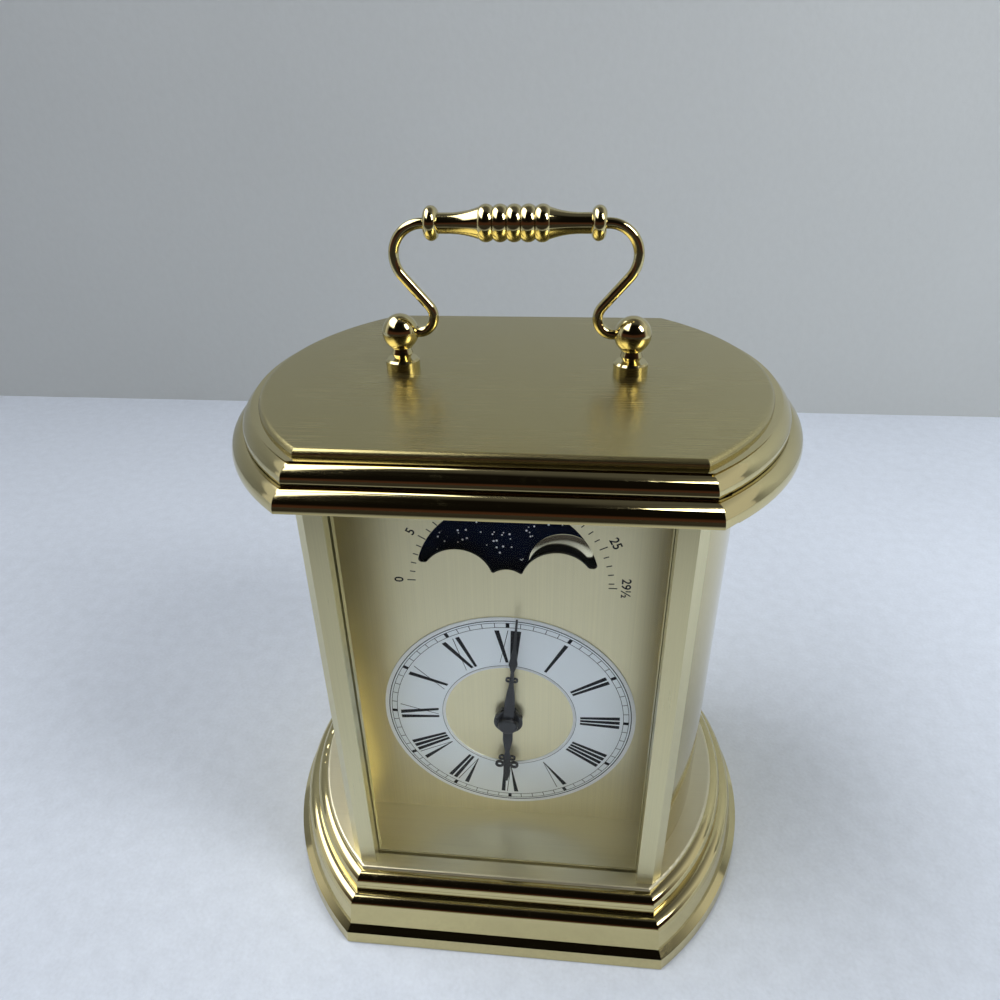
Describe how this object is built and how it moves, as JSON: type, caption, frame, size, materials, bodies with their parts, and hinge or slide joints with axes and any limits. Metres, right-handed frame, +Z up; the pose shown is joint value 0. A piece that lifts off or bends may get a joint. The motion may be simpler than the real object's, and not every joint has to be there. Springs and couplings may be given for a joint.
{
  "type": "moon phase desk clock",
  "caption": "Brass desk clock with bowed sides, stepped mouldings, a swinging bail handle, a round dial and a moon phase window, run by a quartz movement.",
  "frame": {"origin": "middle of the resting face under the felt", "axes": "+Z up, the dial faces -Y, +X to the right of someone who reads the dial"},
  "size_m": [0.1808, 0.1522, 0.2334],
  "materials": {
    "polished_brass": "polished and lacquered",
    "satin_brass": "satin, pale, lacquered",
    "brushed_brass": "brushed along the width",
    "dial_brass": "brushed upright in front, dark behind",
    "silvered_ring": "matt silver with black print",
    "moon_disc": "satin navy with pale gold moons",
    "black_hand": "semi-gloss black",
    "black_plastic": "fine matt texture",
    "knob_plastic": "fluted",
    "catch_plastic": "plain",
    "battery": "plain printed sleeve",
    "steel": "zinc plated",
    "glass": "clear, flat",
    "felt": "short felt"
  },
  "bodies": {
    "case": {"base_moulding": "polished_brass", "base_deck": "brushed_brass", "bottom_plate": "steel", "bottom_plate_screws": "steel", "felt_pad": "felt", "front_left_post": "satin_brass", "front_right_post": "satin_brass", "rear_left_post": "satin_brass", "rear_right_post": "satin_brass", "lower_post_screws": "steel", "upper_post_screws": "steel", "side_panel_left": "polished_brass", "side_panel_right": "polished_brass", "cap_lower_moulding": "polished_brass", "cap_upper_moulding": "polished_brass", "cap_top_plate": "brushed_brass", "front_glass": "glass", "dial_plate": "dial_brass", "dial_screws": "steel", "chapter_ring": "silvered_ring", "movement_case": "black_plastic", "movement_cover": "black_plastic", "cover_screws": "steel", "movement_nut": "satin_brass", "battery": "battery", "battery_contacts": "steel", "door_catch": "catch_plastic", "finial_left": "polished_brass", "finial_right": "polished_brass"},
    "handle": {"handle_grip": "polished_brass", "handle_wire_left": "polished_brass", "handle_wire_right": "polished_brass"},
    "minute_hand": {"minute_hand": "black_hand", "minute_arbor": "steel", "hand_cap": "black_hand"},
    "hour_hand": {"hour_hand": "black_hand", "hour_pipe": "satin_brass"},
    "moon_disc": {"moon_disc": "moon_disc", "moon_arbor": "steel", "moon_set_knob": "knob_plastic"},
    "time_set_knob": {"time_set_knob": "knob_plastic"},
    "rear_door": {"rear_door": "satin_brass", "door_knob": "polished_brass", "door_strike": "steel"}
  },
  "joints": [
    {"name": "handle_swing", "type": "hinge", "parent": "case", "child": "handle", "pos_m": [0, 0, 0.1965], "axis": [1, 0, 0], "range_deg": [-101, 101]},
    {"name": "minute_hand_turn", "type": "hinge", "parent": "case", "child": "minute_hand", "pos_m": [0, 0, 0.0737], "axis": [0, 1, 0], "continuous": true},
    {"name": "hour_hand_turn", "type": "hinge", "parent": "case", "child": "hour_hand", "pos_m": [0, 0, 0.0737], "axis": [0, 1, 0], "continuous": true},
    {"name": "moon_disc_turn", "type": "hinge", "parent": "case", "child": "moon_disc", "pos_m": [0, 0, 0.1302], "axis": [0, 1, 0], "continuous": true},
    {"name": "time_set_knob_turn", "type": "hinge", "parent": "case", "child": "time_set_knob", "pos_m": [0.014, 0, 0.0817], "axis": [0, 1, 0], "continuous": true},
    {"name": "rear_door_swing", "type": "hinge", "parent": "case", "child": "rear_door", "pos_m": [0.0426, 0.0578, 0.0981], "axis": [0, 0, -1], "range_deg": [0, 110]}
  ],
  "couplings": [
    {"joint": "hour_hand_turn", "follows": "minute_hand_turn", "ratio": 0.083333},
    {"joint": "time_set_knob_turn", "follows": "minute_hand_turn", "ratio": -0.33333}
  ]
}
